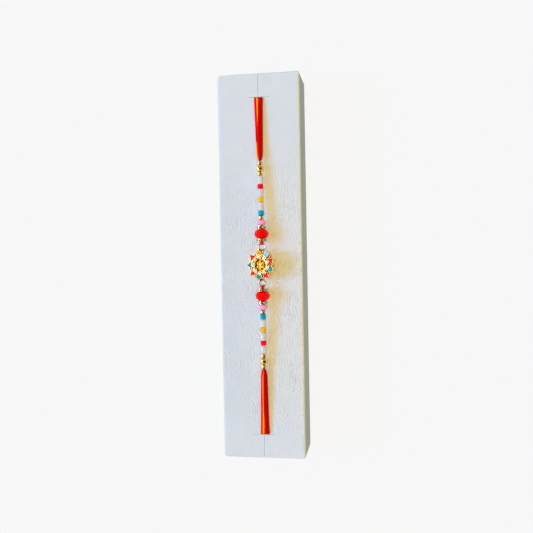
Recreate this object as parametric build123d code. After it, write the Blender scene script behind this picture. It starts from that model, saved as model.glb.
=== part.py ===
from build123d import *
import os
from math import cos, pi, sin

# A rakhi thread bracelet, laced through the slits of its white card display box.
# Sizes are in millimetres. The box lies on its back, with its panel facing +Z and its length along Y.
# The origin is the middle of the box's rim, on the surface that the box rests on.

# Display box: folded card wrapped in paper, open underneath
box_length = 205.4
box_width = 44.2
box_depth = 25.0
card_thickness = 1.5
box_edge_round = 1.4
slit_from_end = 13.5
slit_span = 12.4
slit_clearance = 0.2
slit_cut_width = 0.1
stem_width = 0.1
stem_notch = 3.0
stem_lip_width = 0.9
stem_lip_drop = 0.14

# Line of the string: where the flower's middle and the two slits' openings are, and its thread
flower_x = 1.3
upper_slit_x = 0.35
lower_slit_x = 0.7
string_y = 0.9
thread_diameter = 0.8
loop_thread_diameter = 0.4
loop_count = 3
loop_spacing = 0.35
hitch_width = 2.0
bore_clearance = 0.1
bead_gap = 0.1
panel_gap = 0.1

# Red and yellow thread bundles
bundle_width = 3.5
bundle_thickness = 2.2
bundle_pinch = 1.4
slit_bundle_width = 4.8
slit_bundle_thickness = 1.2
back_bundle_width = 3.6
back_bundle_thickness = 2.0
panel_underside_gap = 0.3

# Knot that ties the two bundles under the panel
knot_x = 0.8
knot_radius = 2.1
knot_wrap_radius = 0.75
knot_wrap_count = 3
knot_wrap_pitch = 1.3
tail_length = 14.0
tail_root_width = 2.0
tail_end_width = 3.2
tail_thickness = 1.2
tail_angle = 40.0
tail_drop = 0.6

# Beads, in order from the flower outwards
knot_room = 0.6
rondelle_rim_thickness = 0.2
crystal_clearance = 0.1
crystal_spacing = 0.35
inner_rondelle_length = 1.4
inner_rondelle_diameter = 5.6
bead_facet_count = 12
red_bead_length = 5.0
red_bead_diameter = 7.8
outer_rondelle_length = 1.8
outer_rondelle_diameter = 4.9
pink_bead_length = 3.0
pink_bead_diameter = 4.9
gold_bead_length = 2.1
gold_bead_diameter = 2.8
colour_bead_length = 2.4
white_tube_length = 4.4
tube_diameter = 3.0
tube_edge_round = 0.3
gold_ball_length = 3.5
gold_ball_diameter = 4.0

# Flower: one cast gold setting with two thread rings
petal_count = 9
flower_tilt = -19.5
stone_facet_count = 8
first_petal_angle = 100.0
petal_tip = 8.35
petal_shoulder = 6.0
petal_base = 4.4
petal_half_width = 1.7
petal_rim = 0.22
petal_height = 1.0
enamel_depth = 0.5
enamel_clearance = 0.05
plate_radius = 6.6
plate_thickness = 1.4
petal_stone_radius_out = 4.35
petal_stone_diameter = 1.85
stone_clearance = 0.08
cup_wall = 0.22
cup_height = 1.25
gap_hole_diameter = 0.7
gap_hole_radius_out = 3.3
rim_ball_diameter = 1.25
rim_ball_radius_out = 6.95
centre_petal_count = 6
centre_petal_diameter = 1.9
centre_flower_radius = 2.8
centre_height = 1.2
centre_stone_diameter = 1.2
ring_outer_diameter = 4.2
ring_wire = 0.7
ring_centre_out = 9.6
ring_lug_diameter = 0.9

# Outlines in shares of the sizes above, chosen by eye
PETAL_BASE_SHARE = 0.72
PETAL_BULGE_SHARE = 0.62
# Rings of corners of a faceted bead: share of its length, share of its radius, half step round
BEAD_RINGS = [(0.0, 0.5, 0.0), (0.2, 0.84, 0.5), (0.5, 1.0, 0.0), (0.8, 0.84, 0.5), (1.0, 0.5, 0.0)]
# Rings of corners of a cut stone: height in stone radii, share of its radius, half step round
STONE_RINGS = [(0.42, 0.56, 0.0), (0.22, 0.84, 0.5), (0.0, 1.0, 0.0), (0.0, 1.0, 0.5), (-0.7, 0.12, 0.0)]
# Sections of the front bundle: share of its run, then how far it has grown to its full width and
# thickness after the pinch, and how far it has spread flat for the slit
FRONT_SECTIONS = [
    (0.0, 0.0, 0.0),
    (0.025, 0.45, 0.0),
    (0.06, 0.8, 0.0),
    (0.12, 1.0, 0.05),
    (0.35, 1.0, 0.3),
    (0.6, 1.0, 0.55),
    (0.85, 1.0, 0.85),
    (1.0, 1.0, 1.0),
]
# Sections of the back bundle: share of its run, how far it has closed up again after the slit
BACK_SECTIONS = [(0.0, 0.0), (0.06, 0.3), (0.14, 0.75), (0.25, 1.0), (1.0, 1.0)]
# Sections of a knot tail: share of its length, share of its widening, share of its thickness
TAIL_SECTIONS = [(0.0, 0.0, 1.0), (0.5, 0.6, 0.95), (1.0, 1.0, 0.7)]

# Sizes that follow from those above
panel_top = box_depth
slit_x = {1: upper_slit_x, -1: lower_slit_x}
slit_y = box_length / 2 - slit_from_end
slit_width = slit_bundle_thickness + 2 * slit_clearance
slit_height = slit_clearance + slit_bundle_thickness / 2
bore_diameter = thread_diameter + 2 * bore_clearance
ring_radius = (ring_outer_diameter - ring_wire) / 2
ring_wire_out = ring_centre_out + ring_radius
ring_reach = ring_centre_out + ring_outer_diameter / 2
thread_loop_radius = ring_wire / 2 + bore_clearance + loop_thread_diameter / 2
first_bead_out = ring_reach + knot_room
BEADS = [
    # name, kind, length, diameter
    ("rondelle_inner", "rondelle", inner_rondelle_length, inner_rondelle_diameter),
    ("red_bead", "faceted", red_bead_length, red_bead_diameter),
    ("rondelle_outer", "rondelle", outer_rondelle_length, outer_rondelle_diameter),
    ("pink_bead", "faceted", pink_bead_length, pink_bead_diameter),
    ("gold_bead_inner", "barrel", gold_bead_length, gold_bead_diameter),
    ("blue_bead", "tube", colour_bead_length, tube_diameter),
    ("white_tube_inner", "tube", white_tube_length, tube_diameter),
    ("yellow_bead", "tube", colour_bead_length, tube_diameter),
    ("white_tube_middle", "tube", white_tube_length, tube_diameter),
    ("rose_bead", "tube", colour_bead_length, tube_diameter),
    ("white_tube_outer", "tube", white_tube_length, tube_diameter),
    ("gold_bead_middle", "barrel", gold_bead_length, gold_bead_diameter),
    ("gold_ball", "barrel", gold_ball_length, gold_ball_diameter),
    ("gold_bead_outer", "barrel", gold_bead_length, gold_bead_diameter),
]
chain_end = first_bead_out + sum(length + bead_gap for _, _, length, _ in BEADS)
red_bead_out = first_bead_out + inner_rondelle_length + bead_gap + red_bead_length / 2

# The string runs straight from the flower's rings to the slits and rests on the two red beads,
# so its height at the rings follows from how far out the red beads and the slits are
upper_slit_out = slit_y - string_y - slit_width / 2
red_bead_share = (red_bead_out - ring_wire_out) / (upper_slit_out - ring_wire_out)
red_bead_height = red_bead_diameter / 2 + panel_gap
string_height = (red_bead_height - red_bead_share * slit_height) / (1 - red_bead_share)
flower_height = panel_top + string_height


def save(solid, name):
    export_step(solid, f"parts/{name}.step")


def slit_out(side):
    """How far out from the flower the near edge of a slit is; side is 1 for +Y and -1 for -Y."""
    return slit_y - side * string_y - slit_width / 2


def line_height(side, out):
    """Height of the string's line over the panel, at a distance out from the flower."""
    run = slit_out(side) - ring_wire_out
    return string_height - (string_height - slit_height) * (out - ring_wire_out) / run


def line_x(side, out):
    """How far across the panel the string's line is, at a distance out from the flower."""
    run = slit_out(side) - ring_wire_out
    return flower_x + (slit_x[side] - flower_x) * (out - ring_wire_out) / run


def string_frame(side):
    """Frame of one half of the string: Z runs outwards along the line, Y up and X across."""
    run = slit_out(side) - ring_wire_out
    outwards = Vector(slit_x[side] - flower_x, side * run, slit_height - string_height).normalized()
    pivot = Vector(flower_x, string_y + side * ring_wire_out, flower_height)
    return Plane(pivot - outwards * ring_wire_out, x_dir=(-side, 0, 0), z_dir=outwards).location


def panel_frame(side):
    """Frame of one half of the threads: Y runs outwards, level with the panel's face at Z = 0."""
    return Pos(knot_x, string_y, panel_top) * Rot(0, 0, 0 if side > 0 else 180)


def rings_of_corners(rings, radius, count):
    """Corners in rings round Z; each ring is a height, a share of the radius and a half step."""
    corners = []
    for height, share, half_step in rings:
        for i in range(count):
            angle = 2 * pi * (i + half_step) / count
            corners.append((radius * share * cos(angle), radius * share * sin(angle), height))
    return corners


def bore(length):
    return Pos(0, 0, length / 2) * Cylinder(bore_diameter / 2, 2 * length)


def faceted_bead(length, diameter):
    """Cut glass rondelle: rings of flat facets and a drilled bore."""
    rings = [(share * length, radius_share, step) for share, radius_share, step in BEAD_RINGS]
    return ConvexPolyhedron(rings_of_corners(rings, diameter / 2, bead_facet_count)) - bore(length)


def tube_bead(length, diameter):
    """Short piece of tube with softly rounded ends."""
    body = Pos(0, 0, length / 2) * Cylinder(diameter / 2, length)
    return fillet(body.edges(), tube_edge_round) - bore(length)


def barrel_bead(length, diameter):
    """Round metal bead whose two ends are cut flat at the bore."""
    end_radius = bore_diameter / 2 + bead_gap
    outline = Polyline((end_radius, 0), (0, 0), (0, length), (end_radius, length))
    bulge = ThreePointArc((end_radius, length), (diameter / 2, length / 2), (end_radius, 0))
    profile = make_face([*outline.edges(), bulge])
    return revolve(Plane.XZ * profile, Axis.Z) - bore(length)


def crystal_radius(length):
    return length / 2 - rondelle_rim_thickness - crystal_clearance


def cut_stone(diameter):
    """Round cut stone, its table up, its girdle at Z = 0."""
    radius = diameter / 2
    rings = [(height * radius, share, step) for height, share, step in STONE_RINGS]
    return ConvexPolyhedron(rings_of_corners(rings, radius, stone_facet_count))


def rondelle_metal(length, diameter):
    """Two thin rim discs on a core, with room between them for the ring of crystals."""
    crystal_reach = crystal_radius(length) * (STONE_RINGS[0][0] - STONE_RINGS[-1][0])
    core_radius = diameter / 2 - crystal_reach - crystal_clearance
    body = Pos(0, 0, length / 2) * Cylinder(core_radius, length)
    rim_radius = diameter / 2 - crystal_radius(length) * STONE_RINGS[0][0]
    for middle in (rondelle_rim_thickness / 2, length - rondelle_rim_thickness / 2):
        body += Pos(0, 0, middle) * Cylinder(rim_radius, rondelle_rim_thickness)
    return body - bore(length)


def rondelle_crystals(length, diameter):
    """Small cut crystals round the rondelle, their tables facing outwards."""
    radius = crystal_radius(length)
    girdle_out = diameter / 2 - radius * STONE_RINGS[0][0]
    count = int(2 * pi * (girdle_out - radius) / (2 * radius + crystal_spacing))
    crystal = Pos(girdle_out, 0, length / 2) * Rot(0, 90, 0) * cut_stone(2 * radius)
    return [Rot(0, 0, 360 * i / count) * crystal for i in range(count)]


BEAD_MAKERS = {
    "faceted": faceted_bead,
    "tube": tube_bead,
    "barrel": barrel_bead,
    "rondelle": rondelle_metal,
}


def make_beads(side, suffix):
    frame = string_frame(side)
    out = first_bead_out
    for name, kind, length, diameter in BEADS:
        place = frame * Pos(0, 0, out)
        save(place * BEAD_MAKERS[kind](length, diameter), f"{name}_{suffix}")
        if kind == "rondelle":
            crystals = [place * crystal for crystal in rondelle_crystals(length, diameter)]
            save(Compound(children=crystals), f"{name}_crystals_{suffix}")
        out += length + bead_gap


def make_bead_thread(side, suffix):
    """Thread through the beads, looped round the flower's ring and hitched beside the first bead."""
    hitch_start = ring_reach + bore_clearance
    hitch_end = first_bead_out - bead_gap
    hitch_radius = (hitch_end - hitch_start) / 2
    hitch_out = (hitch_start + hitch_end) / 2
    rod_end = chain_end - bead_gap
    hitch = Pos(0, 0, hitch_out) * Rot(0, 90, 0) * Cylinder(hitch_radius, hitch_width)
    hitch = fillet(hitch.edges(), hitch_radius * 0.8)
    rod = Cylinder(thread_diameter / 2, rod_end - hitch_out, align=(Align.CENTER, Align.CENTER, Align.MIN))
    thread = hitch + Pos(0, 0, hitch_out) * rod
    for i in range(loop_count):
        across = (i - (loop_count - 1) / 2) * loop_spacing
        loop = Torus(thread_loop_radius, loop_thread_diameter / 2)
        thread += Pos(across, 0, ring_wire_out) * Rot(0, 90, 0) * loop
    save(string_frame(side) * thread, f"bead_thread_{suffix}")


def between(start, end, share):
    return start + (end - start) * share


def oval(out, across, height, width, thickness):
    """Section of a bundle, upright across its run."""
    return Plane((across, out, height), x_dir=(1, 0, 0), z_dir=(0, 1, 0)) * Ellipse(width / 2, thickness / 2)


def make_bundle(side, suffix):
    """Thread bundle from the last bead, down through the slit, and back under the panel to the knot."""
    across_start = side * (line_x(side, chain_end) - knot_x)
    across_slit = side * (slit_x[side] - knot_x)
    corner_out = slit_out(side)
    start_out = chain_end
    start_height = line_height(side, start_out)
    front = []
    for run_share, grown, spread in FRONT_SECTIONS:
        full_width = between(bundle_width, slit_bundle_width, spread)
        full_thickness = between(bundle_thickness, slit_bundle_thickness, spread)
        front.append(
            oval(
                between(start_out, corner_out, run_share),
                between(across_start, across_slit, run_share),
                between(start_height, slit_height, run_share),
                between(bundle_pinch, full_width, grown),
                between(bundle_pinch, full_thickness, grown),
            )
        )
    solid = loft(front, ruled=True)

    # Over the slit's edge, through the card and round the edge underneath
    flat_oval = front[-1]
    over = revolve(flat_oval, Axis((0, corner_out, 0), (-1, 0, 0)), 90)
    through_plane = Plane((across_slit, corner_out + slit_height, 0), x_dir=(1, 0, 0), z_dir=(0, 0, -1))
    flat_face = through_plane * Ellipse(slit_bundle_width / 2, slit_bundle_thickness / 2)
    through = extrude(flat_face, card_thickness)
    under_edge = Axis((0, corner_out, -card_thickness), (-1, 0, 0))
    under = revolve(Pos(0, 0, -card_thickness) * flat_face, under_edge, 90)
    solid += over + through + under

    back_start_height = -card_thickness - slit_height
    back_end_height = -card_thickness - panel_underside_gap - back_bundle_thickness / 2
    back = []
    for run_share, closed in BACK_SECTIONS:
        back.append(
            oval(
                between(corner_out, knot_half_length + bead_gap, run_share),
                across_slit * (1 - run_share),
                between(back_start_height, back_end_height, closed),
                between(slit_bundle_width, back_bundle_width, closed),
                between(slit_bundle_thickness, back_bundle_thickness, closed),
            )
        )
    solid += loft(back, ruled=True)
    save(panel_frame(side) * solid, f"thread_bundle_{suffix}")


knot_half_length = (knot_wrap_count - 1) / 2 * knot_wrap_pitch + knot_wrap_radius
knot_depth = card_thickness + panel_underside_gap + knot_radius


def make_knot():
    """Tied knot: wraps round a core, with the two short thread ends."""
    core_radius = knot_radius - knot_wrap_radius
    knot = Rot(90, 0, 0) * Cylinder(core_radius, 2 * knot_half_length)
    for i in range(knot_wrap_count):
        middle = (i - (knot_wrap_count - 1) / 2) * knot_wrap_pitch
        wrap = Rot(90, 0, 0) * Torus(core_radius, knot_wrap_radius)
        knot += Pos(0, middle, 0) * wrap
    tail_height = -(knot_radius - tail_thickness / 2 - tail_drop / 2)
    sections = []
    for share, widened, thick in TAIL_SECTIONS:
        middle = (0, share * tail_length, tail_height - share * tail_drop)
        place = Plane(middle, x_dir=(1, 0, 0), z_dir=(0, 1, 0))
        width = between(tail_root_width, tail_end_width, widened)
        sections.append(place * Ellipse(width / 2, tail_thickness * thick / 2))
    tail = loft(sections, ruled=True)
    for turn in (-tail_angle, 180 - tail_angle):
        knot += Rot(0, 0, turn) * tail
    save(Pos(knot_x, string_y, panel_top - knot_depth) * knot, "tie_knot")


def make_display_box():
    """Box of folded card, open underneath, with a T-shaped slit at each end of its panel."""
    standing = (Align.CENTER, Align.CENTER, Align.MIN)
    shell = Box(box_width, box_length, box_depth, align=standing)
    top_edges = shell.faces().sort_by(Axis.Z)[-1].edges()
    shell = fillet(top_edges + shell.edges().filter_by(Axis.Z), box_edge_round)
    inside_width = box_width - 2 * card_thickness
    inside_length = box_length - 2 * card_thickness
    shell -= Box(inside_width, inside_length, box_depth - card_thickness, align=standing)
    opening_width = slit_bundle_width + 2 * slit_clearance
    stem_length = slit_from_end + box_edge_round
    lip_end = stem_width / 2 + stem_lip_width
    lip_top = stem_lip_width
    lip_corners = [(0, -stem_lip_drop), (lip_end, 0), (lip_end, lip_top), (0, lip_top)]
    for side in (1, -1):
        # A narrow cut, wide open only where the threads pass
        cut = Box(slit_span, slit_cut_width, 4 * card_thickness)
        shell -= Pos(0, side * (slit_y + (slit_width - slit_cut_width) / 2), box_depth) * cut
        opening = Box(opening_width, slit_width, 4 * card_thickness)
        shell -= Pos(slit_x[side], side * slit_y, box_depth) * opening

        # The cut that runs out to the end of the box, with the card pressed down along its right edge
        stem_at = Pos(0, side * (slit_y + stem_length / 2), box_depth)
        shell -= stem_at * Box(stem_width, stem_length, 2 * (card_thickness + stem_notch))
        lip = make_face(Polyline(*lip_corners, close=True))
        shell -= stem_at * extrude(Plane.XZ * lip, stem_length / 2, both=True)
    save(shell, "display_box")


def petal_outline(inset):
    """Pointed petal along +X, with every side moved in by inset."""
    half = petal_half_width - inset
    tip = petal_tip - 1.4 * inset
    base = petal_base + inset
    side_mid = (between(petal_shoulder, tip, 0.5), half * PETAL_BULGE_SHARE)
    root = half * PETAL_BASE_SHARE
    outline = Polyline((petal_shoulder, half), (base, root), (base, -root), (petal_shoulder, -half))
    right = ThreePointArc((petal_shoulder, -half), (side_mid[0], -side_mid[1]), (tip, 0))
    left = ThreePointArc((tip, 0), side_mid, (petal_shoulder, half))
    return make_face([*outline.edges(), right, left])


def enamel_outline(inset):
    """Heart shape of a petal's enamel: the petal's outline, notched by its stone's cup."""
    notch = Pos(petal_stone_radius_out, 0) * Circle(cup_radius + inset)
    return petal_outline(petal_rim + inset) - notch


cup_radius = petal_stone_diameter / 2 + stone_clearance + cup_wall
petal_angles = [first_petal_angle + 360 * i / petal_count for i in range(petal_count)]
plate_top = plate_thickness / 2
petal_top = plate_top + petal_height
cup_top = plate_top + cup_height
centre_top = plate_top + centre_height


def stone_pocket(diameter):
    """Hole that takes a cut stone up to its girdle."""
    depth = diameter / 2 * -STONE_RINGS[-1][0] + stone_clearance
    standing = (Align.CENTER, Align.CENTER, Align.MAX)
    return Cylinder(diameter / 2 + stone_clearance, depth, align=standing)


def make_setting():
    """Cast gold flower: back plate, petals, stone cups, rim balls, middle flower and two rings."""
    on_plate = Pos(0, 0, -plate_top)
    standing = (Align.CENTER, Align.CENTER, Align.MIN)
    setting = Cylinder(plate_radius, plate_thickness)
    petal = on_plate * extrude(petal_outline(0), plate_thickness + petal_height)
    cup = Pos(petal_stone_radius_out, 0, 0) * Cylinder(cup_radius, cup_top, align=standing)
    ball = Pos(rim_ball_radius_out, 0, plate_top) * Sphere(rim_ball_diameter / 2)
    half_step = 180 / petal_count
    for angle in petal_angles:
        setting += Rot(0, 0, angle) * petal
        setting += Rot(0, 0, angle) * cup
        setting += Rot(0, 0, angle + half_step) * ball

    # Middle flower: round petals round a cup, on a low boss
    centre_radius_out = centre_flower_radius - centre_petal_diameter / 2
    centre_cup_radius = centre_stone_diameter / 2 + stone_clearance + cup_wall
    setting += Cylinder(centre_radius_out, (plate_top + centre_height) * 0.75, align=standing)
    setting += Cylinder(centre_cup_radius, centre_top, align=standing)
    petal_height_mid = centre_top - centre_petal_diameter / 2
    round_petal = Pos(centre_radius_out, 0, petal_height_mid) * Sphere(centre_petal_diameter / 2)
    for i in range(centre_petal_count):
        setting += Rot(0, 0, 360 * (i + 0.5) / centre_petal_count) * round_petal

    # Thread rings, each on a short lug; they lie level though the flower is turned
    for side in (1, -1):
        ring = Rot(0, -flower_tilt, 0) * Torus(ring_radius, ring_wire / 2)
        setting += Pos(0, side * ring_centre_out, 0) * ring
        lug_start = plate_radius - ring_wire
        lug_end = ring_centre_out - ring_radius
        lug = Rot(-90 * side, 0, 0) * Cylinder(ring_lug_diameter / 2, lug_end - lug_start, align=standing)
        setting += Pos(0, side * lug_start, 0) * lug

    # Pockets for the enamel and the stones, and the pierced gaps between the cups
    enamel_pocket = Pos(0, 0, petal_top - enamel_depth) * extrude(enamel_outline(0), 2 * enamel_depth)
    pocket = Pos(petal_stone_radius_out, 0, cup_top) * stone_pocket(petal_stone_diameter)
    gap_hole = Pos(gap_hole_radius_out, 0, 0) * Cylinder(gap_hole_diameter / 2, 2 * plate_thickness)
    for angle in petal_angles:
        setting -= Rot(0, 0, angle) * enamel_pocket
        setting -= Rot(0, 0, angle) * pocket
        setting -= Rot(0, 0, angle + half_step) * gap_hole
    setting -= Pos(0, 0, centre_top) * stone_pocket(centre_stone_diameter)
    save(flower_frame * setting, "flower_setting")


def make_enamel_and_stones():
    """Enamel of each petal, and the cut stones of the petals and the middle."""
    floor = petal_top - enamel_depth + enamel_clearance
    enamel = extrude(enamel_outline(enamel_clearance), enamel_depth - 2 * enamel_clearance)
    stone = cut_stone(petal_stone_diameter)
    for i, angle in enumerate(petal_angles, start=1):
        save(flower_frame * Rot(0, 0, angle) * Pos(0, 0, floor) * enamel, f"petal_enamel_{i}")
        seat = Rot(0, 0, angle) * Pos(petal_stone_radius_out, 0, cup_top)
        save(flower_frame * seat * stone, f"petal_stone_{i}")
    save(flower_frame * Pos(0, 0, centre_top) * cut_stone(centre_stone_diameter), "centre_stone")


# The flower is turned a little about the string, so that it faces left
flower_frame = Pos(flower_x, string_y, flower_height) * Rot(0, flower_tilt, 0)

os.makedirs("parts", exist_ok=True)
make_display_box()
for side, suffix in ((1, "upper"), (-1, "lower")):
    make_beads(side, suffix)
    make_bead_thread(side, suffix)
    make_bundle(side, suffix)
make_knot()
make_setting()
make_enamel_and_stones()
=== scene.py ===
from math import cos, pi, radians, sin, sqrt

import bpy
from mathutils import Matrix, Vector, noise


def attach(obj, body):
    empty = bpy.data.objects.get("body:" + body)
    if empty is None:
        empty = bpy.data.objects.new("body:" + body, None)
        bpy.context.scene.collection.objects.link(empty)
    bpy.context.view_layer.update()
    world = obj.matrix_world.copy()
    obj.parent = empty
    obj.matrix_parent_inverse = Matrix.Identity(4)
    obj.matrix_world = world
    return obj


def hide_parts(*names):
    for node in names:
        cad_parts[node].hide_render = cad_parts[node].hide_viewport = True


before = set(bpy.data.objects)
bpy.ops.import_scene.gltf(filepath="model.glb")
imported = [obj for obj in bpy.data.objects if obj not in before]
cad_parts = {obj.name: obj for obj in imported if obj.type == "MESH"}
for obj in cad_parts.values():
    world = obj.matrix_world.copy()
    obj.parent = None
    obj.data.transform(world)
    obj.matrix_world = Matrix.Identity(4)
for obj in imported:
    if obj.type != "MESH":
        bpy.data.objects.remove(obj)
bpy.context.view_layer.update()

# ---- Photographer's place -------------------------------------------------------------------
# The camera looks down from above the box, a little to the right of its middle, and is turned
# by a degree, so that the box leans in the picture as it does in the photograph.
camera_place = Vector((0.0596, 0.0062, 0.3624))
looking = Vector((-0.1657, -0.0182, -0.9860)).normalized()
picture_up = Vector((0.0144, 0.9995, -0.027))
camera_data = bpy.data.cameras.new("photo_camera")
camera_data.lens = 43.42
camera_data.sensor_width = 36.0
camera_data.clip_start = 0.01
camera = bpy.data.objects.new("photo_camera", camera_data)
bpy.context.scene.collection.objects.link(camera)
picture_right = looking.cross(picture_up).normalized()
turned = Matrix((picture_right, picture_right.cross(looking), -looking)).transposed().to_4x4()
camera.matrix_world = Matrix.Translation(camera_place) @ turned
bpy.context.scene.camera = camera

# ---- Table and daylight ---------------------------------------------------------------------
# A pale table in a warm room, with cool daylight from a low window on the left. The ceiling is
# dark right above the table, which shows as a dot in every round gold bead.
TABLE_WHITE = (0.925, 0.925, 0.925, 1.0)
ROOM_WARM = (0.885, 0.69, 0.29, 1.0)
ROOM_LOW = (0.03, 0.16, 0.24, 1.0)
ROOM_DIM = (0.24, 0.27, 0.19, 1.0)
CEILING_DARK = (0.004, 0.003, 0.001, 1.0)
DARK_DIRECTION, DARK_CORE, DARK_EDGE = Vector((0.38, -0.22, 0.9)).normalized(), radians(34), radians(39)
WINDOW_COOL = (0.0, 0.37, 1.0)
WINDOW_DIRECTION = Vector((-1.0, 0.0, 0.66)).normalized()
PANE_PLACE = Vector((-1.0, 0.0, 0.5))
TABLE_REACH, TABLE_HEIGHT = 3.0, -0.0004
# For each broad light: where it comes from, its colour, its strength and its width in degrees
BROAD_LIGHTS = {
    "window_light": (WINDOW_DIRECTION, WINDOW_COOL, 2.72, 22),
    "window_spill": (WINDOW_DIRECTION, WINDOW_COOL, 1.25, 70),
    "low_light": (Vector((-1.0, 0.0, 0.08)), (1.0, 0.55, 0.3), 0.7, 12),
    "ceiling_light": (Vector((0.15, 0.02, 1.0)), (1.0, 0.76, 0.315), 1.85, 16),
    "far_light": (Vector((1.0, 0.0, 0.08)), (0.48, 1.0, 0.92), 0.45, 20),
    "table_bounce": (Vector((-1.0, 0.0, -0.35)), (1.0, 0.85, 0.1), 2.2, 30),
}


def add_node(tree, kind, sockets=None, **settings):
    """Adds a shader node; each of its sockets takes a value, or a link from another socket."""
    made = tree.nodes.new("ShaderNode" + kind)
    for name, value in settings.items():
        setattr(made, name, value)
    for name, value in (sockets or {}).items():
        if isinstance(value, bpy.types.NodeSocket):
            tree.links.new(value, made.inputs[name])
        else:
            made.inputs[name].default_value = value
    return made


def calculate(tree, operation, *values):
    """Result of one sum on plain numbers or sockets."""
    return add_node(tree, "Math", dict(enumerate(values)), operation=operation).outputs[0]


def times(tree, first, second):
    return calculate(tree, "MULTIPLY", first, second)


def spread(tree, value, low, high, new_low=0.0, new_high=1.0):
    """Stretches a value from one range to another and stops at its ends, with a soft start and end."""
    sockets = {"Value": value, "From Min": low, "From Max": high, "To Min": new_low, "To Max": new_high}
    return add_node(tree, "MapRange", sockets, interpolation_type="SMOOTHSTEP").outputs[0]


def mottle(tree, place, scale, detail=2.0, roughness=0.5):
    """Cloudy pattern from 0 to 1. On an object, the scale is about the number of clouds in a metre."""
    sockets = {"Vector": place, "Scale": scale, "Detail": detail, "Roughness": roughness}
    return add_node(tree, "TexNoise", sockets).outputs["Fac"]


def blend_colours(tree, share, first, second):
    return add_node(tree, "Mix", {0: share, 6: first, 7: second}, data_type="RGBA").outputs[2]


def blend_shaders(tree, share, first, second):
    return add_node(tree, "MixShader", {0: share, 1: first.outputs[0], 2: second.outputs[0]})


room = bpy.data.worlds.new("room")
bpy.context.scene.world = room
room.use_nodes = True
tree = room.node_tree
tree.nodes.clear()
direction = add_node(tree, "TexCoord").outputs["Generated"]
axes = add_node(tree, "SeparateXYZ", {0: direction}).outputs
walls = blend_colours(tree, spread(tree, axes["Z"], -0.08, 0.08), ROOM_LOW, ROOM_WARM)
walls = blend_colours(tree, spread(tree, axes["X"], 0.3, 0.95, 0.0, 0.5), walls, ROOM_DIM)
from_above = spread(tree, axes["Z"], 0.0, 0.9, 0.12, 0.6)
brighter_right = spread(tree, axes["X"], -0.9, 0.9, 0.7, 1.3)
room_strength = times(tree, from_above, brighter_right)
lighting_room = add_node(tree, "Background", {"Color": walls, "Strength": room_strength})
overhead = add_node(tree, "VectorMath", {0: direction, 1: DARK_DIRECTION}, operation="DOT_PRODUCT")
dark_patch = spread(tree, overhead.outputs["Value"], cos(DARK_EDGE), cos(DARK_CORE))
mirrored_colour = blend_colours(tree, dark_patch, walls, CEILING_DARK)
furniture = spread(tree, mottle(tree, direction, 5.0), 0.42, 0.58, 0.04, 1.3)
mirrored_room = add_node(tree, "Background", {"Color": mirrored_colour, "Strength": furniture})
seen_table = add_node(tree, "Background", {"Color": TABLE_WHITE, "Strength": 1.0})
ray = add_node(tree, "LightPath").outputs
not_seen = blend_shaders(tree, ray["Is Glossy Ray"], lighting_room, mirrored_room)
room_light = blend_shaders(tree, ray["Is Camera Ray"], not_seen, seen_table)
add_node(tree, "OutputWorld", {"Surface": room_light.outputs[0]})

table_mesh = bpy.data.meshes.new("table_top")
table_corners = [(x * TABLE_REACH, y * TABLE_REACH, 0) for x, y in ((-1, -1), (1, -1), (1, 1), (-1, 1))]
table_mesh.from_pydata(table_corners, [], [(0, 1, 2, 3)])
table_top = bpy.data.objects.new("table_top", table_mesh)
table_top.location.z = TABLE_HEIGHT
bpy.context.scene.collection.objects.link(table_top)
table_finish = bpy.data.materials.new("pale_table")
table_finish.use_nodes = True
tree = table_finish.node_tree
tree.nodes.clear()
glow = add_node(tree, "Emission", {"Color": TABLE_WHITE, "Strength": 0.952})
dull = add_node(tree, "BsdfDiffuse", {"Color": (0.05, 0.05, 0.05, 1.0)})
glowing_white = add_node(tree, "AddShader", {0: glow.outputs[0], 1: dull.outputs[0]})
add_node(tree, "OutputMaterial", {"Surface": glowing_white.outputs[0]})
table_mesh.materials.append(table_finish)
table_top.visible_diffuse = False
table_top.visible_shadow = False


def add_light(name, kind, aim, **settings):
    """A lamp that shines from a direction towards the box."""
    lamp = bpy.data.lights.new(name, kind)
    for setting, value in settings.items():
        setattr(lamp, setting, value)
    placed = bpy.data.objects.new(name, lamp)
    placed.rotation_euler = aim.to_track_quat("Z", "Y").to_euler()
    bpy.context.scene.collection.objects.link(placed)
    return placed


for name, (aim, colour, energy, width) in BROAD_LIGHTS.items():
    sun = add_light(name, "SUN", aim, color=colour, energy=energy, angle=radians(width))
    sun.visible_glossy = False
pane_size = {"shape": "RECTANGLE", "size": 0.9, "size_y": 0.36}
pane = add_light("window_pane", "AREA", PANE_PLACE, color=(0.9, 0.95, 1.0), energy=11.0, **pane_size)
pane.location = PANE_PLACE
pane.visible_diffuse = False
bpy.context.scene.view_settings.view_transform = "Standard"

# ---- Display box ----------------------------------------------------------------------------
# Folded card covered with white paper that is embossed with a fine rippled grain, glued round
# every edge. The T-shaped slits are knife cuts through paper and card.
MM = 0.001
HALF_WIDTH, HALF_LENGTH, PANEL_TOP = 22.1, 102.7, 25.0  # mm
CARD, FOLD_ROUND = 1.5, 1.4  # mm, the card's thickness and the outer radius of its folds
RIPPLE_PITCH, RIPPLE_DEPTH, TOOTH_DEPTH = 1.7 * MM, 0.115 * MM, 0.03 * MM
PAPER_TONES = (0.665, 0.69, 0.755, 1.0), (0.69, 0.705, 0.77, 1.0)
# Tints that the paper's tone is multiplied by, which paint light and shade onto the panel and its folds
AS_IT_IS = (1.0, 1.0, 1.0, 1.0)
LEFT_PAINTED_SHADE, RIGHT_PAINTED_LIGHT = (0.945, 0.955, 0.955, 1.0), (1.05, 1.015, 0.965, 1.0)
LEFT_FOLD_SHADE, RIGHT_FOLD_LIGHT = (0.84, 0.79, 0.69, 1.0), (1.14, 1.15, 1.28, 1.0)
END_FOLD_LIGHT = (1.15, 1.14, 1.13, 1.0)


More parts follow.
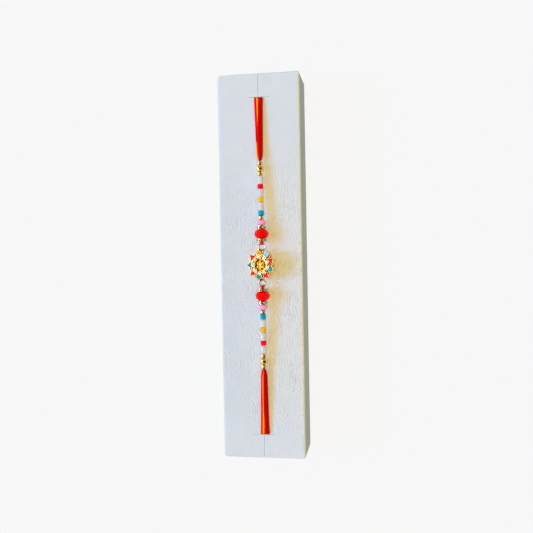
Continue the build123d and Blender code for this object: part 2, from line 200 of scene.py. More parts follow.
def new_finish(name):
    """An empty material: returns it with its node tree."""
    made = bpy.data.materials.new(name)
    made.use_nodes = True
    made.node_tree.nodes.clear()
    return made, made.node_tree


def close_finish(tree, **sockets):
    """The finish's surface shader, from sockets named in words with underscores."""
    named = {name.replace("_", " "): value for name, value in sockets.items()}
    shader = add_node(tree, "BsdfPrincipled", named)
    add_node(tree, "OutputMaterial", {"Surface": shader.outputs[0]})


def place_in_object(tree):
    return add_node(tree, "TexCoord").outputs["Object"]


def raised(tree, pattern, depth, under=None):
    """Surface direction with the pattern raised by a depth in metres."""
    sockets = {"Height": pattern, "Distance": depth, "Strength": 1.0}
    if under is not None:
        sockets["Normal"] = under
    return add_node(tree, "Bump", sockets).outputs[0]


def tinted(tree, colour, tint):
    return add_node(tree, "VectorMath", {0: colour, 1: tint}, operation="MULTIPLY").outputs[0]


def dress(finish, *names):
    """Gives a finish to CAD nodes in place of the plain one that they came with."""
    for name in names:
        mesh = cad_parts[name].data
        mesh.materials.clear()
        mesh.materials.append(finish)


embossed_paper, tree = new_finish("embossed_paper")
place = place_in_object(tree)
spot = add_node(tree, "SeparateXYZ", {0: place}).outputs

# Ripples run along the box, wander from side to side and break off into short pieces
wander = calculate(tree, "MULTIPLY_ADD", mottle(tree, place, 120.0, 1.0), 9.5 * MM, spot["X"])
wander = calculate(tree, "MULTIPLY_ADD", mottle(tree, place, 330.0, 1.0), 2.6 * MM, wander)
ripples = calculate(tree, "SINE", times(tree, wander, 2 * pi / RIPPLE_PITCH))
patches = spread(tree, mottle(tree, place, 90.0), 0.35, 0.65, 0.4, 1.0)
short_pieces = spread(tree, mottle(tree, place, 620.0, 1.0), 0.38, 0.61, 0.05, 1.3)
broken = times(tree, patches, short_pieces)

# They are faint on the left and at both ends of the panel, and all but gone below its folds
calm_left = spread(tree, spot["X"], -14.0 * MM, -3.0 * MM, 0.5, 1.1)
calm_far = spread(tree, spot["Y"], 20.0 * MM, 80.0 * MM, 1.0, 0.08)
calm_near = spread(tree, spot["Y"], -97.0 * MM, -60.0 * MM, 0.32, 1.0)
calm_ends = times(tree, calm_far, calm_near)
on_panel = spread(tree, spot["Z"], (PANEL_TOP - 1.2) * MM, (PANEL_TOP - 0.2) * MM, 0.15, 1.0)
strength = times(tree, times(tree, calm_left, calm_ends), times(tree, on_panel, broken))
grain = times(tree, ripples, strength)
tooth = mottle(tree, place, 2600.0, 3.0, 0.6)

# The tone is slightly cloudy. Painted shade darkens it towards the left and painted light makes it
# warmer and lighter towards the right, except near the panel's ends
cloud = spread(tree, mottle(tree, place, 120.0, 4.0), 0.3, 0.7)
paper_tone = blend_colours(tree, cloud, *PAPER_TONES)
painted_light_gradient = blend_colours(tree, spread(tree, spot["X"], -20.0 * MM, 20.0 * MM), LEFT_PAINTED_SHADE, RIGHT_PAINTED_LIGHT)
paper_tone = tinted(tree, paper_tone, blend_colours(tree, calm_ends, AS_IT_IS, painted_light_gradient))

# Painted shade greys the paper where it turns over the left fold, and painted light makes it lighter over
# the right one and the ends
fold_height = spread(tree, spot["Z"], (PANEL_TOP - 1.9) * MM, (PANEL_TOP - 1.2) * MM)
from_left = spread(tree, spot["X"], (0.2 - HALF_WIDTH) * MM, (FOLD_ROUND - HALF_WIDTH) * MM, 1.0, 0.0)
from_right = spread(tree, spot["X"], (HALF_WIDTH - FOLD_ROUND) * MM, (HALF_WIDTH - 0.6) * MM)
to_end = calculate(tree, "ABSOLUTE", spot["Y"])
from_end = spread(tree, to_end, (HALF_LENGTH - 1.5) * MM, (HALF_LENGTH - 0.7) * MM)
painted_fold_light_and_plating_mottle = blend_colours(tree, times(tree, fold_height, from_left), AS_IT_IS, LEFT_FOLD_SHADE)
painted_fold_light_and_plating_mottle = blend_colours(tree, times(tree, fold_height, from_right), painted_fold_light_and_plating_mottle, RIGHT_FOLD_LIGHT)
painted_fold_light_and_plating_mottle = blend_colours(tree, from_end, painted_fold_light_and_plating_mottle, END_FOLD_LIGHT)
paper_tone = tinted(tree, paper_tone, painted_fold_light_and_plating_mottle)

# Painted shade in the grain's dips, and painted light on its ridges
painted_dip_shade = calculate(tree, "MULTIPLY_ADD", grain, 0.0722, 0.995)
paper_tone = add_node(tree, "VectorMath", {0: paper_tone, "Scale": painted_dip_shade}, operation="SCALE").outputs[0]
close_finish(
    tree,
    Base_Color=paper_tone,
    Roughness=spread(tree, tooth, 0.3, 0.7, 0.55, 0.72),
    Normal=raised(tree, tooth, TOOTH_DEPTH, raised(tree, grain, RIPPLE_DEPTH)),
    Specular_IOR_Level=0.3,
)
dress(embossed_paper, "display_box")

# ---- Thread bundles -------------------------------------------------------------------------
# Each half ends in a hank of fine red silk threads with a few yellow ones, pinched together
# behind the last bead. It spreads flat, dives through the slit and runs back under the panel.
SIDES = {1: "upper", -1: "lower"}  # halves of the string, by the sign of Y
FLOWER_X, STRING_Y = 1.3, 0.9  # mm, middle of the flower
RING_WIRE_OUT, CHAIN_END = 11.35, 55.1  # mm out from the flower's middle
STRING_HEIGHT, SLIT_HEIGHT = 4.222, 0.8  # mm over the panel, at the ring and at the slit
SLIT_OUT = {1: 87.5, -1: 89.3}  # mm out from the flower's middle
SLIT_X = {1: 0.35, -1: 0.7}  # mm
KNOT_X, KNOT_END = 0.8, 2.15  # mm, the knot's middle across and how far out it reaches
UNDER_PANEL, KNOT_HEIGHT = -CARD - SLIT_HEIGHT, -CARD - 1.3  # mm over the panel

# Width and thickness of a hank in mm: behind the last bead, opened, in the slit, at the knot
PINCHED, OPENED, FLAT, GATHERED = (1.4, 1.4), (3.5, 2.2), (4.8, 1.2), (3.6, 2.0)
# Share of the run over the panel, how far opened after the pinch, how far spread flat
OPENING = [(0, 0, 0), (0.025, 0.45, 0), (0.06, 0.8, 0), (0.12, 1, 0.05), (0.35, 1, 0.3), (0.6, 1, 0.55)]
OPENING += [(0.85, 1, 0.85), (1, 1, 1)]
# Share of the run under the panel, how far gathered
GATHERING = [(0, 0), (0.06, 0.3), (0.14, 0.75), (0.25, 1), (1, 1)]
TOP_STEPS, CORNER_STEPS, UNDER_STEPS = 34, 8, 56

# Turn of the yellow stripe in degrees, from the pinch to the slit, then held; 90 is on top
STRIPE_TURNS = {
    1: [(0.0, 156), (0.3, 168), (0.38, 165), (0.5, 125), (0.75, 110), (1.0, 104)],
    -1: [(0.0, 98), (0.15, 112), (0.5, 115), (1.0, 111)],
}
# How far the red threads close over the stripe: under the upper half's middle it goes out of sight
STRIPE_HIDDEN = {
    1: [(0.0, 0), (0.26, 0), (0.34, 1), (0.46, 1), (0.6, 0.6), (0.8, 0.3), (1.0, 0.0)],
    -1: [(0.0, 0.5), (0.3, 0.4), (1.0, 0.2)],
}
# The threads on the stripe's right stay bright for a part of the way round, up to a little past
# the top. From there on they are a darker red, painted shade on the hank's side away from the light.
BRIGHT_REACH, SHADED_RED_TURN = radians(40), radians(79)
# Each layer's share of the bundle's radius, its threads, and how many are yellow either side
OUTER_STRANDS = 34
LAYERS = [(1.0, OUTER_STRANDS, 2), (0.66, 22, 0), (0.3, 10, 0)]
THREAD_FULLNESS = 0.68  # radius as a share of the room that a thread has round the bundle
THREAD_WANDER, THREAD_LOOSENESS = 0.16, 0.05  # radians round the bundle, share of the way in
HIDDEN_SINK = 0.5  # share of the way in that a hidden stripe sinks
# The shaded red is the red silk with painted shade, for the threads on the hank's side away from the light
SILK_TONES = {
    "red_silk": ((0.92, 0.0, 0.0005, 1.0), (1.0, 0.001, 0.002, 1.0)),
    "yellow_silk": ((1.0, 0.42, 0.004, 1.0), (1.0, 0.62, 0.02, 1.0)),
    "shaded_red_silk": ((0.42, 0.0, 0.0003, 1.0), (0.66, 0.0, 0.0006, 1.0)),
}
RED, YELLOW, SHADED_RED = 0, 1, 2  # their order on a mesh


def between(start, end, share):
    return start + (end - start) * share


def reshaped(first, second, share):
    """Width and thickness on the way from one form of a hank to the next."""
    return between(first[0], second[0], share), between(first[1], second[1], share)


def string_line(side, out):
    """How far across in mm, and how high over the panel, the string is that the beads hang on."""
    share = (out - RING_WIRE_OUT) / (SLIT_OUT[side] - RING_WIRE_OUT)
    return between(FLOWER_X, SLIT_X[side], share), between(STRING_HEIGHT, SLIT_HEIGHT, share)


def on_string(side, out, across_by=0.0, up_by=0.0):
    """Point at a distance in mm out from the flower along one half of the string."""
    across, height = string_line(side, out)
    return Vector((across + across_by, STRING_Y + side * out, PANEL_TOP + height + up_by)) * MM


def bundle_line(side):
    """Middle line of a hank in mm: across, out, height over the panel, width and thickness."""
    slit_x, corner = SLIT_X[side], SLIT_OUT[side]
    start_x, start_height = string_line(side, CHAIN_END)
    line = []
    for (share, opened, flat), (next_share, next_opened, next_flat) in zip(OPENING, OPENING[1:]):
        steps = max(2, round((next_share - share) * TOP_STEPS))
        for step in range(steps):
            part = step / steps
            run, form = between(share, next_share, part), between(flat, next_flat, part)
            size = reshaped(PINCHED, reshaped(OPENED, FLAT, form), between(opened, next_opened, part))
            height = between(start_height, SLIT_HEIGHT, run)
            line.append((between(start_x, slit_x, run), between(CHAIN_END, corner, run), height, *size))
    for step in range(CORNER_STEPS + 1):
        turn = radians(90) * step / CORNER_STEPS
        line.append((slit_x, corner + SLIT_HEIGHT * sin(turn), SLIT_HEIGHT * cos(turn), *FLAT))
    for step in range(1, CORNER_STEPS + 1):
        turn = radians(90) * step / CORNER_STEPS
        line.append((slit_x, corner + SLIT_HEIGHT * cos(turn), -CARD - SLIT_HEIGHT * sin(turn), *FLAT))
    for (share, closed), (next_share, next_closed) in zip(GATHERING, GATHERING[1:]):
        steps = max(3, round((next_share - share) * UNDER_STEPS))
        for step in range(1, steps + 1):
            run, form = between(share, next_share, step / steps), between(closed, next_closed, step / steps)
            height = between(UNDER_PANEL, KNOT_HEIGHT, form)
            size = reshaped(FLAT, GATHERED, form)
            line.append((between(slit_x, KNOT_X, run), between(corner, KNOT_END, run), height, *size))
    return line


def thread_mesh(name, strands, finishes, around=6):
    """One mesh of fine round threads. A strand is its points, its radii and its finish's number.
    The map's U counts the strands, and within one runs round the thread; V runs along it."""
    corners, faces, uvs, finish_numbers = [], [], [], []
    for number, (points, radii, finish) in enumerate(strands):
        first = len(corners)
        side_on, travelled, lengths = None, 0.0, []
        for i, point in enumerate(points):
            ahead = (points[min(i + 1, len(points) - 1)] - points[max(i - 1, 0)]).normalized()
            side_on = ahead.orthogonal() if side_on is None else side_on - ahead * side_on.dot(ahead)
            side_on.normalize()
            other = ahead.cross(side_on)
            if i:
                travelled += (point - points[i - 1]).length
            lengths.append(travelled)
            for k in range(around):
                angle = 2 * pi * k / around
                corners.append(point + (side_on * cos(angle) + other * sin(angle)) * radii[i])
        for i in range(len(points) - 1):
            for k in range(around):
                a, b = first + i * around + k, first + i * around + (k + 1) % around
                faces.append((a, b, b + around, a + around))
                low, high = number + k / around, number + (k + 1) / around
                uvs += [(low, lengths[i]), (high, lengths[i]), (high, lengths[i + 1]), (low, lengths[i + 1])]
        last = first + (len(points) - 1) * around
        caps = ((range(first + around - 1, first - 1, -1), 0.0), (range(last, last + around), travelled))
        for ring, v in caps:
            faces.append(tuple(ring))
            uvs += [(number + 0.5, v)] * around
        finish_numbers += [finish] * (len(faces) - len(finish_numbers))
    mesh = bpy.data.meshes.new(name)
    mesh.from_pydata(corners, [], faces)
    layer = mesh.uv_layers.new(name="UVMap")
    layer.data.foreach_set("uv", [value for uv in uvs for value in uv])
    mesh.polygons.foreach_set("material_index", finish_numbers)
    mesh.polygons.foreach_set("use_smooth", [True] * len(faces))
    for finish in finishes:
        mesh.materials.append(finish)
    made = bpy.data.objects.new(name, mesh)
    bpy.context.scene.collection.objects.link(made)
    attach(made, "root")
    return made


def even_strand(points, radius, finish=RED):
    """A thread that is as thick all along, from its radius in mm."""
    return points, [radius * MM] * len(points), finish


def faded_by(colour, share, lift=0.0):
    """A colour at a share of its strength, lifted towards white."""
    return (*[lift + share * channel for channel in colour[:3]], 1.0)


def silk_finish(name, tones, twist=0.0011, ridge=0.00003):
    """Dyed silk: each thread a shade of its own, fine plies twisted round it with painted shade in the
    grooves between them, and a soft sheen.
    """
    dark, bright = tones
    finish, tree = new_finish(name)
    uv = add_node(tree, "SeparateXYZ", {0: add_node(tree, "UVMap").outputs[0]}).outputs
    strand = calculate(tree, "FLOOR", uv["X"])
    own_shade = add_node(tree, "TexWhiteNoise", {"W": strand}, noise_dimensions="1D").outputs["Value"]
    along = calculate(tree, "DIVIDE", uv["Y"], twist)
    winding = calculate(tree, "ADD", times(tree, uv["X"], 3.0), along)
    plies = calculate(tree, "SINE", times(tree, winding, 2 * pi))
    streaks = add_node(tree, "CombineXYZ", {0: times(tree, uv["X"], 3.1), 1: times(tree, uv["Y"], 260.0)})
    faded = mottle(tree, streaks.outputs[0], 1.0, 3.0)
    shade = calculate(tree, "ADD", times(tree, own_shade, 0.6), times(tree, faded, 0.4))
    colour = blend_colours(tree, spread(tree, shade, 0.15, 0.8), dark, bright)
    # Painted shade: the grooves between the plies are darker
    painted_groove_shade = spread(tree, plies, -1.0, 0.2, 0.15, 0.0)
    close_finish(
        tree,
        Base_Color=blend_colours(tree, painted_groove_shade, colour, faded_by(dark, 0.4)),
        Roughness=0.42,
        Normal=raised(tree, plies, ridge),
        Specular_IOR_Level=0.05,
        Sheen_Weight=0.3,
        Sheen_Roughness=0.5,
        Sheen_Tint=faded_by(bright, 0.9, lift=0.1),
    )
    return finish


def eased(stops, share):
    """Value at a share of the way along a list of stops, with a soft start and end between two."""
    for (start, value), (end, next_value) in zip(stops, stops[1:]):
        if share <= end:
            part = (share - start) / (end - start)
            return between(value, next_value, part * part * (3 - 2 * part))
    return stops[-1][1]


def thread_turn(stripe, past_stripe):
    """Angle of a thread round the bundle, where the bright ones crowd or spread to end at the same turn."""
    if past_stripe >= 0:
        return stripe + past_stripe
    bright_arc = stripe - SHADED_RED_TURN
    if -past_stripe < BRIGHT_REACH:
        return stripe + past_stripe * bright_arc / BRIGHT_REACH
    return SHADED_RED_TURN + (past_stripe + BRIGHT_REACH) * (pi - bright_arc) / (pi - BRIGHT_REACH)


def closed_over(past_stripe, count, yellow_reach, hidden):
    """Angle of a red thread past the stripe's middle, where the red ones close over the yellow."""
    gap = pi * (2 * yellow_reach - 1) / count
    pushed = pi - (pi - abs(past_stripe)) * (pi - gap * (1 - hidden)) / (pi - gap)
    return pushed if past_stripe > 0 else -pushed


def bundle_stops(side):
    """Stops along a hank: its middle, the way up, its width and thickness in mm, and the share of
    the run over the panel, which is held from the slit on."""
    line = bundle_line(side)
    top_run = SLIT_OUT[side] - CHAIN_END
    stops = []
    for n, (across, out, height, width, thickness) in enumerate(line):
        before, after = line[max(n - 1, 0)], line[min(n + 1, len(line) - 1)]
        run = Vector((after[1] - before[1], after[2] - before[2])).normalized()
        up = Vector((0, -side * run.y, run.x))
        middle = Vector((across, STRING_Y + side * out, PANEL_TOP + height))
        share = (out - CHAIN_END) / top_run if n < len(line) / 2 else 1.0
        stops.append((middle, up, width, thickness, share))
    return stops


def bundle_strands(side):
    """Every thread of one hank, layer by layer from its skin inwards."""
    stops = bundle_stops(side)
    strands = []
    for layer_share, count, yellow_reach in LAYERS:
        for i in range(count):
            steps_from_stripe = min(i, count - i)
            yellow = yellow_reach > 0 and steps_from_stripe < yellow_reach
            shaded_side = not yellow and i > count / 2 and 2 * pi * steps_from_stripe / count > BRIGHT_REACH
            points, radii = [], []
            for n, (middle, up, width, thickness, share) in enumerate(stops):
                hidden = eased(STRIPE_HIDDEN[side], share)
                past_stripe = 2 * pi * (i if i <= count / 2 else i - count) / count
                if yellow_reach and not yellow:
                    past_stripe = closed_over(past_stripe, count, yellow_reach, hidden)
                seed = Vector((layer_share * 9.7 + i * 1.37, n * 0.07, side * 3.0))
                angle = thread_turn(radians(eased(STRIPE_TURNS[side], share)), past_stripe)
                angle += noise.noise(seed) * THREAD_WANDER
                perimeter = pi * sqrt((width * width + thickness * thickness) / 2)
                radius = perimeter / OUTER_STRANDS * THREAD_FULLNESS
                pull = layer_share * (1.0 - THREAD_LOOSENESS * abs(noise.noise(seed * 1.7)))
                pull *= 1.0 - HIDDEN_SINK * hidden * yellow
                u = (width / 2 - radius) * pull * cos(angle)
                v = (thickness / 2 - radius) * pull * sin(angle)
                points.append((middle + Vector((u, 0, 0)) + up * v) * MM)
                radii.append(radius * MM)
            strands.append((points, radii, YELLOW if yellow else SHADED_RED if shaded_side else RED))
    return strands


silks = [silk_finish(name, tones) for name, tones in SILK_TONES.items()]
for side, suffix in SIDES.items():
    bundle = thread_mesh(f"silk_bundle_{suffix}", bundle_strands(side), silks)
    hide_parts(f"thread_bundle_{suffix}")

# ---- Knot under the panel -------------------------------------------------------------------
# The two hanks meet under the middle of the panel, where one is wound three times round the
# other and pulled tight. The two ends stick out to the sides and are cut off frayed.
KNOT_MIDDLE = Vector((KNOT_X, STRING_Y, PANEL_TOP - 3.9))  # mm
WRAP_LEANS = (-9, 7, -6)  # degrees
WRAP_THREADS, WRAP_STEPS, WRAP_PLY_TURNS = 12, 60, 2
WRAP_RADIUS, WRAP_PITCH, WRAP_THREAD = 1.35, 1.3, 0.165  # mm
HANK_HALF_HIGH, HANK_HALF_WIDE, LEAN_REACH = 0.55, 0.58, 1.2  # mm
CORE_RUN = (-2.3, -1.5, -0.7, 0, 0.7, 1.5, 2.3)  # mm along the string
CORE_THREADS, CORE_TWIST = 20, 0.25  # number, radians in a mm
CORE_INNER, CORE_OUTER, CORE_THREAD = 0.45, 0.85, 0.2  # mm
TAIL_TURNS = (50, 230)  # degrees from the photograph's right
TAIL_THREADS, TAIL_STEPS, TAIL_TWIST = 30, 21, 0.7  # numbers, radians over its length
TAIL_LENGTH, TAIL_UNEVEN, TAIL_THREAD = 13.2, 0.8, 0.15  # mm
TAIL_ROOT, TAIL_TIP = (1.9, 1.1), (2.9, 0.75)  # mm wide and thick
TAIL_DROP, TAIL_SAG = 1.2, 0.6  # mm under the knot's middle, and more at the tip
FRAY_START, FRAY_REACH = 0.72, 1.6  # share of the length, mm over a whole length
THINNING_START, THINNING = 0.8, 0.05  # share of the length, mm
TURN_TO_NEXT = 0.618  # share of a turn, which spreads a tail's threads evenly over its section


def wrap_strands():
    """Threads of the three turns of the hank round the other one."""
    strands = []
    for wrap, degrees_over in enumerate(WRAP_LEANS):
        lean = sin(radians(degrees_over)) * LEAN_REACH
        for i in range(WRAP_THREADS):
            points = []
            for n in range(WRAP_STEPS + 1):
                turn = 2 * pi * n / WRAP_STEPS
                ply = 2 * pi * i / WRAP_THREADS + turn * WRAP_PLY_TURNS
                out = WRAP_RADIUS + HANK_HALF_HIGH * cos(ply)
                along = (wrap - 1) * WRAP_PITCH + HANK_HALF_WIDE * sin(ply) + lean * cos(turn)
                points.append((KNOT_MIDDLE + Vector((out * cos(turn), along, out * sin(turn)))) * MM)
            strands.append(even_strand(points, WRAP_THREAD, YELLOW if i in (3, 4) else RED))
    return strands


def core_strands():
    """Threads of the hank that runs through the knot."""
    strands = []
    for i in range(CORE_THREADS):
        angle = 2 * pi * i / CORE_THREADS
        out = CORE_OUTER if i % 2 else CORE_INNER
        points = []
        for y in CORE_RUN:
            turn = angle + y * CORE_TWIST
            points.append((KNOT_MIDDLE + Vector((out * cos(turn), y, out * sin(turn)))) * MM)
        strands.append(even_strand(points, CORE_THREAD, YELLOW if i in (5, 6) else RED))
    return strands


def tail_strands(turn_to):
    """Threads of one cut end, which splays and frays over its last quarter."""
    heading = Vector((cos(turn_to), sin(turn_to), 0))
    beside = Vector((-sin(turn_to), cos(turn_to), 0))
    strands = []
    for i in range(TAIL_THREADS):
        angle, rim = 2 * pi * i * TURN_TO_NEXT, sqrt((i + 0.5) / TAIL_THREADS)
        length = TAIL_LENGTH + TAIL_UNEVEN * noise.noise(Vector((i * 2.3, turn_to, 0.5)))
        stray = noise.noise(Vector((i * 3.1, turn_to, 2.0)))
        points, radii = [], []
        for n in range(TAIL_STEPS + 1):
            share = n / TAIL_STEPS
            flare = stray * max(0.0, share - FRAY_START) * FRAY_REACH
            width, thickness = reshaped(TAIL_ROOT, TAIL_TIP, share)
            u = width / 2 * rim * cos(angle + share * TAIL_TWIST) + flare
            v = thickness / 2 * rim * sin(angle + share * TAIL_TWIST)
            drop = -TAIL_DROP - TAIL_SAG * share
            point = KNOT_MIDDLE + heading * (share * length) + beside * u
            points.append((point + Vector((0, 0, drop + v))) * MM)
            thinner = THINNING * max(0.0, share - THINNING_START) / (1 - THINNING_START)
            radii.append((TAIL_THREAD - thinner) * MM)
        strands.append((points, radii, YELLOW if i % 9 == 4 else RED))
    return strands


knot_strands = wrap_strands() + core_strands()
for turn_to in TAIL_TURNS:
    knot_strands += tail_strands(radians(turn_to))
knot = thread_mesh("tied_knot", knot_strands, [silks[RED], silks[YELLOW]])
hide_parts("tie_knot")

# ---- Thread through the beads ---------------------------------------------------------------
# Three red plies twisted together carry the beads. At the flower they go round its ring and
# are hitched beside the first bead, which leaves a small red bow on the ring.
RING_HALF_WIRE = 0.35  # mm
PLY_START, PLY_END, PLY_PITCH, PLY_OFF = 11.9, CHAIN_END - 0.1, 2.4, 0.19  # mm
PLIES, PLY_STEPS = 3, 150
LOOP_LIES, LOOP_STEPS = (-1, -0.33, 0.33, 1), 32
LOOP_RADIUS, LOOP_CLOSE, LOOP_FAN = RING_HALF_WIRE + 0.27, 0.36, 0.34  # mm
# For each winding of the hitch: its turns, where it starts and ends, and its half width in mm
HITCHES = ((2, 11.93, 12.05, 0.88), (2, 12.1, 11.97, 0.66))
HITCH_STEPS, HITCH_RISE = 80, 0.44  # number, mm
PLY_THREAD, LOOP_THREAD, HITCH_THREAD = 0.2, 0.19, 0.17  # mm
CORD_TONES = (0.80, 0.0, 0.001, 1.0), (1.0, 0.001, 0.003, 1.0)


def bead_thread_strands(side):
    strands = []
    # Plies along the string, inside the beads
    for ply in range(PLIES):
        points = []
        for n in range(PLY_STEPS + 1):
            out = between(PLY_START, PLY_END, n / PLY_STEPS)
            turn = 2 * pi * (ply / PLIES + (out - PLY_START) / PLY_PITCH)
            points.append(on_string(side, out, PLY_OFF * cos(turn), PLY_OFF * sin(turn)))
        strands.append(even_strand(points, PLY_THREAD))
    # Loops round the ring's wire, close together on top of the wire and fanned out on both sides
    for lie in LOOP_LIES:
        points = []
        for n in range(LOOP_STEPS + 1):
            turn = 2 * pi * n / LOOP_STEPS
            fan = LOOP_CLOSE + LOOP_FAN * cos(turn) ** 2
            out = RING_WIRE_OUT + LOOP_RADIUS * cos(turn)
            points.append(on_string(side, out, lie * fan, LOOP_RADIUS * sin(turn)))
        strands.append(even_strand(points, LOOP_THREAD))
    # Hitch: flat turns round the string between the ring and the first bead
    for turns, start, end, half_width in HITCHES:
        points = []
        for n in range(HITCH_STEPS + 1):
            share = n / HITCH_STEPS
            turn = 2 * pi * share * turns
            out = between(start, end, share)
            points.append(on_string(side, out, half_width * cos(turn), HITCH_RISE * sin(turn)))
        strands.append(even_strand(points, HITCH_THREAD))
    return strands


cord_red = silk_finish("cord_red", CORD_TONES, twist=0.0006, ridge=0.00004)
for side, suffix in SIDES.items():
    thread = thread_mesh(f"twisted_thread_{suffix}", bead_thread_strands(side), [cord_red], around=8)
    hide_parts(f"bead_thread_{suffix}")

# ---- Gold findings --------------------------------------------------------------------------
# The flower is one casting, plated bright yellow gold, with painted shade darkening its corners.
# The small gold beads, the balls and the rondelles' rims are turned brass with the same plating.
GOLD_BEADS = (
    "rondelle_inner",
    "rondelle_outer",
    "gold_bead_inner",
    "gold_bead_middle",
    "gold_bead_outer",
    "gold_ball",
)
GOLD_TONES = (0.95, 0.63, 0.18, 1.0), (1.0, 0.76, 0.33, 1.0)
CORNER_SHADE_GOLD = (0.20, 0.10, 0.015, 1.0)
EDGE_ROUND, CORNER_REACH, PIT_DEPTH, LUMP_DEPTH = 0.13 * MM, 0.9 * MM, 0.008 * MM, 0.08 * MM
# The round flower in the casting's middle is satin; its deeper, more orange gold is a painted warm
# reflection
MIDDLE_PLACE, MIDDLE_INNER, MIDDLE_OUTER = (0.9 * MM, 0.9 * MM, 31.1 * MM), 3.0 * MM, 3.7 * MM
MIDDLE_REFLECTION_GOLD, MIDDLE_CORNER_SHADE_GOLD = (0.90, 0.52, 0.085, 1.0), (0.50, 0.27, 0.03, 1.0)


def dress_pairs(finish, *beads):
    """Gives a finish to beads that each half of the string has one of."""
    dress(finish, *[f"{bead}_{suffix}" for bead in beads for suffix in SIDES.values()])


gold_plate, tree = new_finish("gold_plate")
place = place_in_object(tree)
rounded = add_node(tree, "Bevel", {"Radius": EDGE_ROUND}, samples=6).outputs[0]
pits = mottle(tree, place, 1500.0, 3.0, 0.6)
uneven = mottle(tree, place, 1300.0, 2.0)
painted_fold_light_and_plating_mottle = spread(tree, mottle(tree, place, 420.0, 3.0), 0.35, 0.65)
from_middle = add_node(tree, "VectorMath", {0: place, 1: MIDDLE_PLACE}, operation="DISTANCE")
in_middle = spread(tree, from_middle.outputs["Value"], MIDDLE_INNER, MIDDLE_OUTER, 1.0, 0.0)
bright_gold = blend_colours(tree, in_middle, blend_colours(tree, painted_fold_light_and_plating_mottle, *GOLD_TONES), MIDDLE_REFLECTION_GOLD)
painted_corner_shade = blend_colours(tree, in_middle, CORNER_SHADE_GOLD, MIDDLE_CORNER_SHADE_GOLD)
# Painted shade: the gold is darker where other surfaces close round it
exposed = add_node(tree, "AmbientOcclusion", {"Distance": CORNER_REACH}, samples=8).outputs["AO"]
polish = spread(tree, pits, 0.3, 0.7, 0.03, 0.08)
lumps = times(tree, uneven, calculate(tree, "MULTIPLY_ADD", in_middle, -0.8, 1.0))
close_finish(
    tree,
    Base_Color=blend_colours(tree, spread(tree, exposed, 0.15, 0.75), painted_corner_shade, bright_gold),
    Metallic=1.0,
    Roughness=calculate(tree, "MULTIPLY_ADD", in_middle, 0.27, polish),
    Normal=raised(tree, pits, PIT_DEPTH, raised(tree, lumps, LUMP_DEPTH, rounded)),
)
dress(gold_plate, "flower_setting")
dress_pairs(gold_plate, *GOLD_BEADS)

# ---- Cut stones -----------------------------------------------------------------------------
# Round cut white glass with a silver foil behind, pressed into the flower's cups and set round
# the rondelles. Each facet has a brightness of its own painted into its colour, a painted reflection of the
# foil.
PETALS = 9
FACET_STEP = (0.07, 0.07, 0.07)


def cut_stone_finish(name, dull, bright, share_dull):
    """Foiled glass, each facet painted with a reflection of a brightness of its own. Past the dull share all
    are fully bright.
    """
    finish, tree = new_finish(name)
    facet = add_node(tree, "NewGeometry").outputs["True Normal"]
    stepped = add_node(tree, "VectorMath", {0: facet, 1: FACET_STEP}, operation="SNAP").outputs[0]
    painted_facet_glint = add_node(tree, "TexWhiteNoise", {"Vector": stepped}, noise_dimensions="3D").outputs["Value"]
    close_finish(
        tree,
        Base_Color=blend_colours(tree, spread(tree, painted_facet_glint, 0.0, share_dull), dull, bright),
        Metallic=0.25,
        Roughness=0.05,
        Specular_IOR_Level=0.9,
        Coat_Weight=1.0,
        Coat_Roughness=0.02,
    )
    return finish


foiled_crystal = cut_stone_finish("foiled_crystal", (0.6, 0.62, 0.65, 1.0), (1.0, 1.0, 1.0, 1.0), 0.5)
dress(foiled_crystal, "centre_stone", *[f"petal_stone_{i}" for i in range(1, PETALS + 1)])
small_crystal = cut_stone_finish("small_crystal", (0.10, 0.075, 0.03, 1.0), (0.85, 0.80, 0.60, 1.0), 1.0)
dress_pairs(small_crystal, "rondelle_inner_crystals", "rondelle_outer_crystals")

# ---- Enamel ---------------------------------------------------------------------------------
# Glossy cold enamel poured into each petal, a little uneven in depth, so that its colour
# varies slightly. The colours go round from the orange petal at the top, against the clock.
ENAMELS = {
    "orange": ((0.86, 0.24, 0.0, 1.0), (0.96, 0.34, 0.001, 1.0)),
    "pink": ((0.80, 0.0, 0.026, 1.0), (0.90, 0.0, 0.036, 1.0)),
    "turquoise": ((0.0, 0.22, 0.28, 1.0), (0.002, 0.30, 0.37, 1.0)),
    "light_blue": ((0.17, 0.55, 0.92, 1.0), (0.26, 0.66, 1.0, 1.0)),
}
PETAL_COLOURS = ["orange", *["pink", "turquoise"] * 3, "pink", "light_blue"]


def glossy_finish(name, tones, roughness, shine, fine=900.0, ripple=0.000004, soft_edge=0.0002, **more):
    """Opaque glossy colour with a faint cloudy change of shade and slightly uneven surface."""
    finish, tree = new_finish(name)
    place = place_in_object(tree)
    cloud = mottle(tree, place, fine, 3.0)
    rounded = add_node(tree, "Bevel", {"Radius": soft_edge}, samples=6).outputs[0]
    close_finish(
        tree,
        Base_Color=blend_colours(tree, spread(tree, cloud, 0.3, 0.7), *tones),
        Roughness=spread(tree, cloud, 0.3, 0.7, roughness * 0.8, roughness * 1.3),
        Normal=raised(tree, mottle(tree, place, fine * 1.7), ripple, rounded),
        Specular_IOR_Level=shine,
        **more,
    )
    return finish


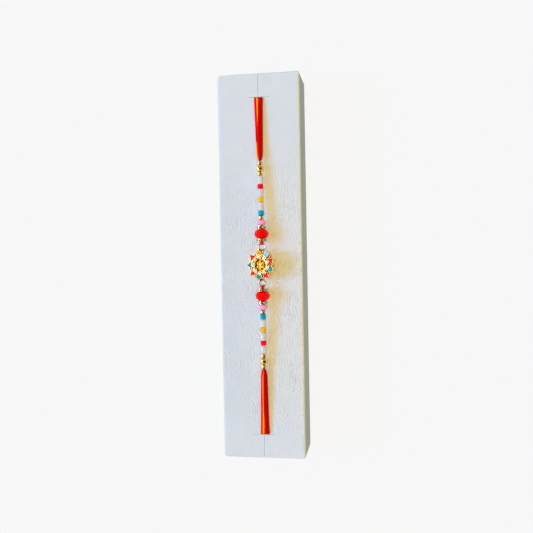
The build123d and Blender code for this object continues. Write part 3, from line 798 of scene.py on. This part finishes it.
enamel_finishes = {}
for colour, tones in ENAMELS.items():
    enamel_finishes[colour] = glossy_finish(f"{colour}_enamel", tones, roughness=0.2, shine=0.1)
for i, colour in enumerate(PETAL_COLOURS, start=1):
    dress(enamel_finishes[colour], f"petal_enamel_{i}")

# ---- Coloured tube beads --------------------------------------------------------------------
# Short lengths of opaque plastic tube, cut and tumbled: pearly white ones, a little see-through,
# between blue, yellow and rose ones.
TUBE_TONES = {
    "blue": ((0.0, 0.32, 0.52, 1.0), (0.001, 0.38, 0.60, 1.0)),
    "yellow": ((0.98, 0.46, 0.0, 1.0), (1.0, 0.54, 0.0, 1.0)),
    "rose": ((0.98, 0.0, 0.008, 1.0), (1.0, 0.001, 0.018, 1.0)),
}
PEARL_TONES = (0.75, 0.625, 0.615, 1.0), (0.81, 0.675, 0.665, 1.0)
PEARL_DEPTH = {"Subsurface_Weight": 0.9, "Subsurface_Scale": 0.004, "Subsurface_Radius": (1.0, 1.0, 1.0)}
for colour, tones in TUBE_TONES.items():
    plastic = glossy_finish(f"{colour}_plastic", tones, roughness=0.36, shine=0.04, fine=700.0)
    dress_pairs(plastic, f"{colour}_bead")
pearl = glossy_finish("pearl_white", PEARL_TONES, roughness=0.35, shine=0.15, fine=500.0, **PEARL_DEPTH)
dress_pairs(pearl, "white_tube_inner", "white_tube_middle", "white_tube_outer")

# ---- Cut glass rondelles --------------------------------------------------------------------
# Faceted glass beads, the large one deep red and nearly opaque, the small one milky pink.
GLASS_TONES = {
    "red": ((0.94, 0.0, 0.001, 1.0), (1.0, 0.002, 0.003, 1.0)),
    "pink": ((1.0, 0.36, 0.65, 1.0), (1.0, 0.44, 0.77, 1.0)),
}
GLASS_CUT = {"roughness": 0.07, "shine": 0.15, "fine": 400.0, "ripple": 0.000002, "soft_edge": 0.00008}
GLASS_DEPTH = {"Subsurface_Weight": 0.2, "Subsurface_Scale": 0.0015}
for colour, tones in GLASS_TONES.items():
    glass = glossy_finish(f"{colour}_glass", tones, **GLASS_CUT, **GLASS_DEPTH)
    dress_pairs(glass, f"{colour}_bead")
